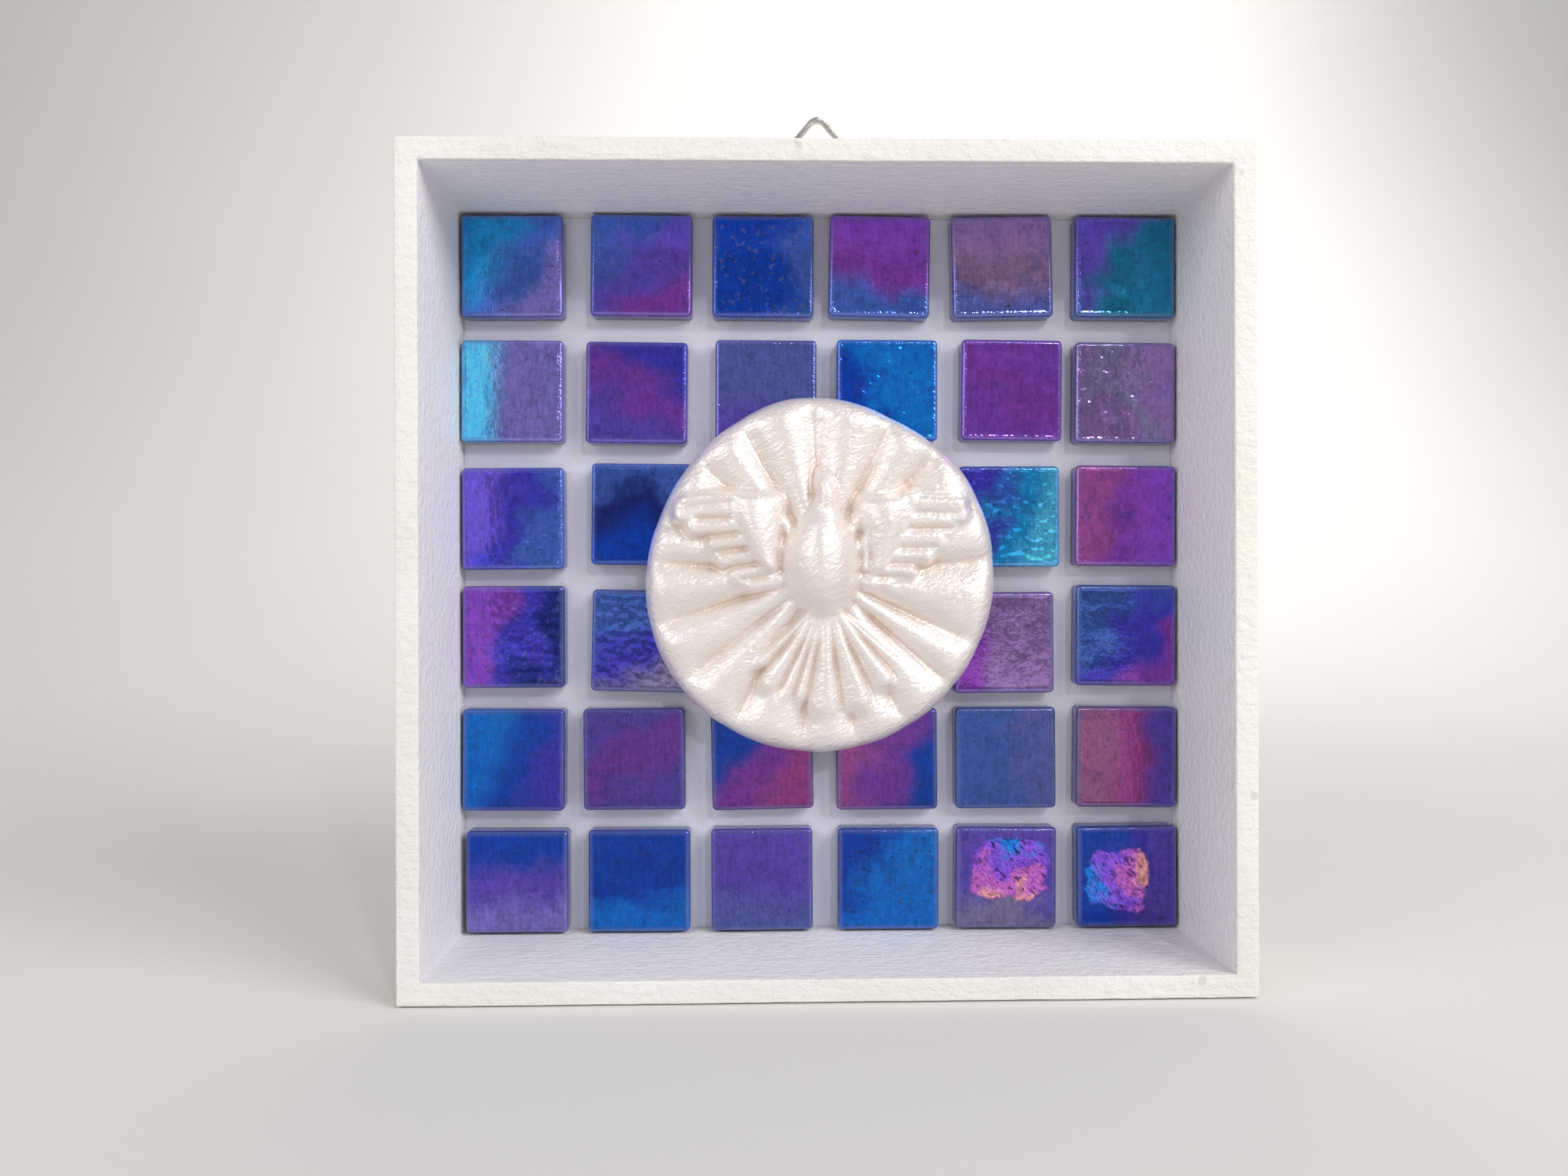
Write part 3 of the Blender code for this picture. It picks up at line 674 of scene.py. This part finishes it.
body = {
    "middle": ((-0.27, 0.02), (-0.1, 0.0), (0.1, -0.01), (0.3, 0.005), (0.42, 0.025), (0.52, 0.015),
               (0.61, -0.005)),
    "half": ((-0.28, 0.03), (-0.255, 0.09), (-0.22, 0.145), (-0.16, 0.19), (-0.08, 0.225), (0.06, 0.245),
             (0.2, 0.222), (0.3, 0.165), (0.37, 0.116), (0.43, 0.095), (0.5, 0.085), (0.56, 0.065),
             (0.61, 0.03)),
    "rise": ((-0.28, -0.08), (-0.255, 0.0), (-0.22, 0.06), (-0.16, 0.11), (-0.08, 0.145), (0.0, 0.162),
             (0.12, 0.165), (0.25, 0.135), (0.36, 0.08), (0.46, 0.082), (0.54, 0.05), (0.61, -0.04)),
    "blend": 0.05,
}
leftLobe = {
    "outer": ((-0.05, -0.25), (0.02, -0.33), (0.084, -0.40), (0.225, -0.485), (0.35, -0.54),
              (0.43, -0.55), (0.48, -0.51), (0.54, -0.42)),
    "inner": ((-0.05, -0.22), (0.03, -0.222), (0.1, -0.215), (0.2, -0.205), (0.31, -0.195),
              (0.4, -0.175), (0.48, -0.20), (0.54, -0.30)),
    "rise": ((-0.05, 0.045), (0.04, 0.07), (0.12, 0.078), (0.22, 0.084), (0.34, 0.08), (0.42, 0.062),
             (0.48, 0.04), (0.54, 0.02)),
    "ridge": 0.42,
}
rightLobe = {
    "outer": ((-0.06, 0.32), (0.04, 0.385), (0.12, 0.43), (0.2, 0.47), (0.3, 0.52), (0.4, 0.55),
              (0.46, 0.54), (0.52, 0.45)),
    "inner": ((-0.06, 0.24), (0.1, 0.245), (0.22, 0.21), (0.3, 0.18), (0.4, 0.16), (0.46, 0.20),
              (0.52, 0.33)),
    "rise": ((-0.06, 0.03), (0.04, 0.05), (0.12, 0.062), (0.22, 0.074), (0.34, 0.076), (0.41, 0.058),
             (0.46, 0.04), (0.52, 0.02)),
    "ridge": 0.55,
}
# Each feather's root, tip and half width, and each cut's root, tip and share of the depth
feathers = (
    ((-0.47, 0.42), (-0.78, 0.40), 0.055), ((-0.46, 0.345), (-0.80, 0.35), 0.060),
    ((-0.44, 0.27), (-0.725, 0.275), 0.060), ((-0.42, 0.19), (-0.60, 0.175), 0.055),
    ((-0.37, 0.11), (-0.545, 0.085), 0.055), ((-0.31, 0.03), (-0.48, 0.0), 0.052),
    ((-0.26, -0.035), (-0.385, -0.06), 0.045),
    ((0.48, 0.42), (0.77, 0.40), 0.055), ((0.48, 0.35), (0.78, 0.33), 0.055),
    ((0.46, 0.27), (0.70, 0.27), 0.058), ((0.41, 0.19), (0.635, 0.19), 0.058),
    ((0.365, 0.10), (0.58, 0.10), 0.052), ((0.31, 0.015), (0.49, 0.02), 0.046),
    ((0.27, -0.055), (0.36, -0.052), 0.034))
featherCuts = (
    ((-0.50, 0.408), (-0.80, 0.388), 0.5), ((-0.53, 0.315), (-0.71, 0.318), 1),
    ((-0.485, 0.23), (-0.65, 0.215), 1), ((-0.42, 0.148), (-0.60, 0.125), 1),
    ((-0.36, 0.065), (-0.515, 0.04), 1), ((-0.30, -0.008), (-0.44, -0.032), 0.9),
    ((0.55, 0.445), (0.79, 0.435), 0.8), ((0.53, 0.345), (0.76, 0.34), 0.6),
    ((0.50, 0.255), (0.72, 0.255), 1.2), ((0.45, 0.148), (0.63, 0.148), 1.2),
    ((0.39, 0.062), (0.56, 0.062), 1.2), ((0.32, -0.018), (0.45, -0.018), 1.1))
wing = {
    "rise": 0.030,
    "softness": 0.012,        # how softly the feathers run together
    "cut": 0.024,
    "cutHalf": 0.021,
    "lobeEnds": (0.1, 0.12),  # how far a lobe takes to rise from its lower and its upper end
    "lobeBlend": 0.03,
    "quill": ((0.252, 0.22), (0.245, 0.03), 0.03),
    "quillRise": 0.262,
}
tail = {
    "point": (0.02, -0.126),
    "edges": (-51, -40, -27, -18.5, -10.5, 8.5, 26, 42, 51),
    "reach": (0.58, 0.65, 0.64, 0.645, 0.68, 0.69, 0.65, 0.57),
    "rise": ((0.1, 0.045), (0.28, 0.055), (0.48, 0.042), (0.66, 0.022)),
    "groove": 0.052,
    "grooveCrest": 0.6,
}
sunk = 0.08                   # the rounded forms start this far under the disc's surface


def flow(at, knots):
    # A smooth line through (place, value) knots, level beyond both ends.
    place, value = (np.array(row, float) for row in zip(*knots))
    slope = np.gradient(value, place)
    at = np.clip(at, place[0], place[-1])
    i = np.clip(np.searchsorted(place, at) - 1, 0, len(place) - 2)
    gap = place[i + 1] - place[i]
    t = (at - place[i]) / gap
    return ((2 * t**3 - 3 * t**2 + 1) * value[i] + (t**3 - 2 * t**2 + t) * gap * slope[i]
            + (3 * t**2 - 2 * t**3) * value[i + 1] + (t**3 - t**2) * gap * slope[i + 1])


def ease(low, high, at):
    t = np.clip((at - low) / (high - low), 0, 1)
    return t * t * (3 - 2 * t)


def roll(across, fullness):
    return np.clip(1 - across**2, 0, 1) ** fullness


def furrow(share, crest, fullness):
    # The drop from a pillow's crest to the rounded furrow beside it, less for a fuller pillow.
    across = np.abs(share - crest) / np.where(share < crest, crest, 1 - crest)
    drop = (across**2 - np.clip(across - 0.86, 0, None) ** 2 / 0.14) / 0.86
    return 1 - (1 - drop) * np.minimum(1, fullness)


def merged(low, high, blend):
    # The higher of two surfaces, with the crease between them softened.
    near = np.clip(blend - np.abs(low - high), 0, None)
    return np.maximum(low, high) + near**2 / (4 * blend)


def beside(x, y, start, end):
    runX, runY = end[0] - start[0], end[1] - start[1]
    t = np.clip(((x - start[0]) * runX + (y - start[1]) * runY) / (runX**2 + runY**2), 0, 1)
    return np.hypot(x - start[0] - t * runX, y - start[1] - t * runY)


def acrossBand(angle, edges):
    edges = np.array(edges, float)
    i = np.clip(np.searchsorted(edges, angle) - 1, 0, len(edges) - 2)
    width = edges[i + 1] - edges[i]
    return (angle - edges[i]) / width, width, i


def discLevel(x, y):
    # The disc without its rays: a rounded rim, a shallow dish and a low mound under the bird.
    far = np.hypot(x, y)
    out = np.clip((far - disc["crestAt"]) / (1 - disc["crestAt"]), 0, 1)
    rim = disc["side"] + (disc["crest"] - disc["side"]) * np.sqrt(1 - out**2)
    dish = (disc["crest"] - disc["bed"]) * (1 - ease(0.1, disc["crestAt"], far))
    wide, high = disc["moundSize"]
    away = (x / wide) ** 2 + ((y - disc["moundLift"]) / high) ** 2
    return rim - dish + disc["mound"] * np.exp(-away**1.5)


def rayDepths(x, y):
    far = np.hypot(x, y)
    angle = (np.degrees(np.arctan2(y, x)) - rayGrooves[0]) % 360 + rayGrooves[0]
    share, width, _ = acrossBand(angle, rayGrooves + (rayGrooves[0] + 360,))
    fading = ease(0.14, 0.45, far) * (1 - 0.6 * ease(0.84, 0.99, far))
    return disc["rayDepth"] * fading * furrow(share, 0.45, width / 20)


def withWings(x, y, level, height):
    near = np.array([beside(x, y, root, tip) - half for root, tip, half in feathers])
    # The feathers lie together as one soft spread, a little higher than the rays round it.
    soft = wing["softness"]
    spread = -soft * np.log(np.exp(-near / soft).sum(axis=0))
    height = height + (level + wing["rise"] - height) * (1 - ease(-0.035, 0.03, spread))
    inside = 1 - ease(-0.03, 0.01, spread)
    for root, tip, depth in featherCuts:
        reach = beside(x, y, root, tip) / wing["cutHalf"]
        height = height - wing["cut"] * depth * inside * np.exp(-reach**2)
    for lobe in (leftLobe, rightLobe):
        outer, inner = flow(y, lobe["outer"]), flow(y, lobe["inner"])
        left, right = np.minimum(outer, inner), np.maximum(outer, inner)
        crest = left + (right - left) * lobe["ridge"]
        across = (x - crest) / np.where(x < crest, crest - left, right - crest)
        bottom, top = lobe["rise"][0][0], lobe["rise"][-1][0]
        upFrom, downTo = wing["lobeEnds"]
        ends = ease(bottom, bottom + upFrom, y) * (1 - ease(top - downTo, top, y))
        rise = level - sunk + (flow(y, lobe["rise"]) + sunk) * roll(across, 0.75) * ends
        height = merged(height, np.where(np.abs(across) < 1, rise, 0), wing["lobeBlend"])
    root, tip, half = wing["quill"]
    reach = beside(x, y, root, tip) / half
    return merged(height, wing["quillRise"] - 0.06 * reach**2, 0.02)


def withTail(x, y, level, height):
    over, down = x - tail["point"][0], tail["point"][1] - y
    turn, far = np.degrees(np.arctan2(over, down)), np.hypot(over, down)
    edges = tail["edges"]
    share, width, i = acrossBand(turn, edges)
    groove = tail["groove"] * furrow(share, tail["grooveCrest"], width / 14) * ease(0.1, 0.4, far)
    reach = np.array(tail["reach"])[i] - 0.03 * (2 * share - 1) ** 2
    inside = (1 - ease(reach - 0.07, reach + 0.03, far)) * (np.abs(turn) < 80)
    inside = inside * ease(edges[0] - 3, edges[0] + 6, turn)
    inside = inside * (1 - ease(edges[-1] - 6, edges[-1] + 3, turn))
    return height + (level + flow(far, tail["rise"]) - groove - height) * inside


def withBody(x, y, level, height):
    across = (x - flow(y, body["middle"])) / flow(y, body["half"])
    low, high = body["rise"][0][0], body["rise"][-1][0]
    rise = level - sunk + (flow(y, body["rise"]) + sunk) * roll(across, 0.8)
    inside = (y > low) & (y < high) & (np.abs(across) < 1)
    return merged(height, np.where(inside, rise, 0), body["blend"])


def relief(x, y):
    level = discLevel(x, y)
    height = withWings(x, y, level, level - rayDepths(x, y))
    return withBody(x, y, level, withTail(x, y, level, height))


def softened(x, y, step):
    # The mean of the relief over a small square of nine points
    offsets = (-step, 0, step)
    return sum(relief(x + right, y + up) for right in offsets for up in offsets) / 9


def pearlMaterial():
    material, tree, shader = newMaterial("pearlPaint", **{
        "Metallic": 0.35, "Coat Weight": 0.5, "Coat Roughness": 0.25})
    pearl, shade, shadeTan = ((*medallionLook[paint], 1) for paint in ("pearl", "shade", "shadeTan"))
    place = objectPlace(tree)
    # Painted shade: the hollows of the relief turn tan, the deeper the more, broken by a soft cloud.
    hollowShade = addNode(tree, "ShaderNodeAttribute", attribute_name="hollowShade").outputs["Fac"]
    cloud = noiseOf(tree, place, 120, 3, 0.6)
    hollowShadeShare = productOf(tree, rangeOf(tree, hollowShade, 0.0, 1.0), rangeOf(tree, cloud, 0.2, 0.7, 0.3, 0.7))
    painted = mixOf(tree, rangeOf(tree, cloud, 0.3, 0.7), pearl, shade)
    tree.links.new(mixOf(tree, hollowShadeShare, painted, shadeTan), shader.inputs["Base Color"])
    strokes = noiseOf(tree, stretchOf(tree, place, (420, 420, 900), (0, 0.5, 0)), 1, 2, 0.5, 1.2)
    fine = noiseOf(tree, place, 1500, 2, 0.5, 0.6)
    tree.links.new(rangeOf(tree, strokes, 0.25, 0.75, 0.30, 0.40), shader.inputs["Roughness"])
    addBump(tree, shader, heightOf(tree, (strokes, 1.0), (fine, 0.25)), medallionLook["bump"])
    return material


def makeMedallion():
    radius, sectors = medallionLook["radius"], medallionLook["sectors"]
    bpy.ops.mesh.primitive_circle_add(vertices=sectors, radius=1, fill_type="TRIFAN")
    piece = bpy.context.object
    piece.name = piece.data.name = "doveMedallion"
    openForEdit(piece, "FACE", lambda face: True)
    bpy.ops.mesh.subdivide(number_cuts=medallionLook["cuts"])
    closeEdit()

    # The many-sided blank is drawn out to a true circle, and the rows crowd towards the rim.
    x, y, _ = meshPlaces(piece).T
    angle = np.arctan2(y, x)
    corner = 2 * math.pi / sectors
    offset = (angle - math.pi / 2) % corner - corner / 2
    far = np.hypot(x, y) * np.cos(offset) / math.cos(corner / 2)
    crest = disc["crestAt"]
    outer = np.clip((far - crest) / (1 - crest), 0, 1)
    far = np.where(far > crest, crest + (1 - crest) * np.sin(outer * math.pi / 2), far)
    x, y = far * np.cos(angle), far * np.sin(angle)
    height = softened(x, y, medallionLook["softness"])
    # How much lower each point lies than what is round it, kept for the painted shade in the hollows.
    reach, depth = medallionLook["hollowShade"]
    hollowShade = np.clip((softened(x, y, reach) - height) / depth, 0, 1) * (far < 0.97)
    swell = 1 + (flow(np.degrees(angle), outline) - 1) * ease(0.5, 1, far)
    setMeshPlaces(piece, np.column_stack((x * swell, y * swell, height)) * radius)
    storeValues(piece, "hollowShade", "FLOAT", hollowShade)

    openForEdit(piece, "EDGE", lambda edge: edge.is_boundary)
    for level, share in ((disc["side"] * radius / 2, 1), (0, 1 - disc["footInset"])):
        bpy.ops.mesh.extrude_region_move()
        bpy.ops.transform.resize(value=(share, share, 0), center_override=(0, 0, level))
    bpy.ops.mesh.edge_face_add()
    closeEdit()
    makeActive(piece)
    piece.data.transform(Matrix.Translation(medallionSpot()) @ Matrix.Rotation(math.radians(90), 4, "X"))
    roughen(piece, "medallionStrokes", *medallionLook["strokes"])
    bpy.ops.object.shade_smooth_by_angle(angle=math.radians(60))
    return piece


def medallionSpot():
    low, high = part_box("dove_medallion")
    right, left, up, down = flow(np.array([0.0, 180.0, 92.0, -90.0]), outline) * medallionLook["radius"]
    return Vector(((low.x + high.x - right + left) / 2, high.y, (low.z + high.z - up + down) / 2))


medallion = makeMedallion()
settle(medallion, pearlMaterial(), "pearl_glaze", "dove_medallion")
print("medallion carved:", len(medallion.data.polygons), "faces")


# Nickel hanger and nails

hangerLook = {
    "edge": 0.00022,
    "nailEdge": 0.0002,
    "nickel": (0.74, 0.71, 0.66),
    "dulled": (0.52, 0.49, 0.45),
    "bump": 0.00004,
}


def nickelMaterial():
    material, tree, shader = newMaterial("nickelPlate", **{"Metallic": 1.0})
    place = objectPlace(tree)
    cloud = noiseOf(tree, place, 260, 3, 0.6)
    scratches = noiseOf(tree, stretchOf(tree, place, (300, 300, 5200), (0, 0.6, 0)), 1, 2, 0.7)
    bright, dulled = (*hangerLook["nickel"], 1), (*hangerLook["dulled"], 1)
    colour = mixOf(tree, rangeOf(tree, cloud, 0.3, 0.75), bright, dulled)
    tree.links.new(colour, shader.inputs["Base Color"])
    tree.links.new(rangeOf(tree, scratches, 0.3, 0.7, 0.16, 0.34), shader.inputs["Roughness"])
    addBump(tree, shader, scratches, hangerLook["bump"])
    return material


def refineMetal(node, name, edge):
    # A merged copy of the plain part, with its edges rounded.
    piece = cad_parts[node].copy()
    piece.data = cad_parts[node].data.copy()
    piece.parent = None
    for key in list(piece.keys()):
        del piece[key]
    piece.name = piece.data.name = name
    bpy.context.scene.collection.objects.link(piece)
    openForEdit(piece, "FACE", lambda face: True)
    bpy.ops.mesh.remove_doubles(threshold=samePlace)
    bpy.ops.mesh.dissolve_limited(angle_limit=math.radians(1))
    closeEdit()
    applyModifier(piece, "BEVEL", width=edge, segments=3, limit_method="ANGLE",
                  angle_limit=math.radians(40))
    bpy.ops.object.shade_smooth_by_angle(angle=math.radians(35))
    return piece


nickel = nickelMaterial()
settle(refineMetal("hanger_plate", "hangerPlate", hangerLook["edge"]), nickel, "nickel", "hanger_plate")
for side in ("left", "right"):
    nail = refineMetal("hanger_nail_" + side, "hangerNail_" + side, hangerLook["nailEdge"])
    settle(nail, nickel, "nickel", "hanger_nail_" + side)
print("hanger finished")


# Studio: pale floor and backdrop, soft light from the upper right, and the camera

studioLook = {
    "floorSize": 6.0,
    "wallBehind": 1.1,
    "bend": 0.75,
    # Each soft panel's place, what it faces, its size, its power and its spread in degrees
    "panels": {
        "keyLight": ((0.76, -0.62, 0.66), (0, 0, 0.075), 0.6, 7.3, 180),
        "fillLight": ((-0.9, -0.8, 0.55), (0, 0, 0.075), 0.9, 5.1, 180),
        "backLight": ((0.40, 0.60, 0.95), (0.15, 1.0, 0.0), 0.8, 2.2, 100),
        "wallLight": ((0.2, 0.45, 1.35), (0.05, 1.1, 0.8), 0.6, 1.9, 100),
        "sparkLight": ((0.36, -1.02, 0.66), (0, 0, 0.075), 0.07, 1.8, 180),
    },
    "floorColour": (0.80, 0.78, 0.75),
    "floorShade": (0.75, 0.73, 0.70),
    "skyColour": (0.97, 0.98, 1.0),
    "skyLight": 0.38,
    "cameraPlace": (-0.01252, -0.22064, 0.07167),
    "cameraTurn": (0.061, 0.195, -1.283),  # degrees away from looking level along +Y
    "lens": 26.97,
}


def addPanel(name, place, aim, size, power, spread):
    turn = (Vector(aim) - Vector(place)).to_track_quat("-Z", "Y").to_euler()
    bpy.ops.object.light_add(type="AREA", location=place, rotation=turn)
    light = bpy.context.object
    light.name = name
    light.data.size = size
    light.data.energy = power
    light.data.spread = math.radians(spread)


def makeSweep():
    # The floor runs up into the backdrop in one soft bend.
    material, tree, shader = newMaterial("paleStudio", Roughness=0.8)
    colour, shade = (*studioLook["floorColour"], 1), (*studioLook["floorShade"], 1)
    cloud = noiseOf(tree, objectPlace(tree), 3, 2)
    tree.links.new(mixOf(tree, cloud, colour, shade), shader.inputs["Base Color"])
    size, wall = studioLook["floorSize"], studioLook["wallBehind"]
    bpy.ops.mesh.primitive_plane_add(size=size, location=(0, wall - size / 2, -0.0002))
    sweep = bpy.context.object
    sweep.name = sweep.data.name = "studioSweep"
    bpy.ops.object.transform_apply(location=True, rotation=True, scale=True)
    back = wall - 0.001
    openForEdit(sweep, "EDGE", lambda edge: all(vert.co.y > back for vert in edge.verts))
    bpy.ops.mesh.extrude_region_move(TRANSFORM_OT_translate={"value": (0, 0, size / 2)})
    closeEdit()
    openForEdit(sweep, "EDGE",
                lambda edge: all(vert.co.y > back and vert.co.z < 0.01 for vert in edge.verts))
    bpy.ops.mesh.bevel(offset=studioLook["bend"], segments=16, affect="EDGES")
    closeEdit()
    bpy.ops.object.shade_smooth()
    sweep.data.materials.append(material)


def makeLights():
    for name, settings in studioLook["panels"].items():
        addPanel(name, *settings)
    world = bpy.data.worlds.new("softSky")
    world.use_nodes = True
    sky = world.node_tree.nodes["Background"]
    sky.inputs["Color"].default_value = (*studioLook["skyColour"], 1)
    sky.inputs["Strength"].default_value = studioLook["skyLight"]
    bpy.context.scene.world = world
    bpy.context.scene.view_settings.view_transform = "Standard"


def makeCamera():
    turn = Euler([math.radians(angle) for angle in studioLook["cameraTurn"]], "XYZ").to_matrix().to_4x4()
    level = Matrix.Rotation(math.radians(90), 4, "X")
    bpy.ops.object.camera_add()
    camera = bpy.context.object
    camera.matrix_world = Matrix.Translation(studioLook["cameraPlace"]) @ turn @ level
    camera.data.lens = studioLook["lens"]
    camera.data.sensor_width = 36
    camera.data.clip_start = 0.01
    bpy.context.scene.camera = camera


makeSweep()
makeLights()
makeCamera()
print("studio ready")
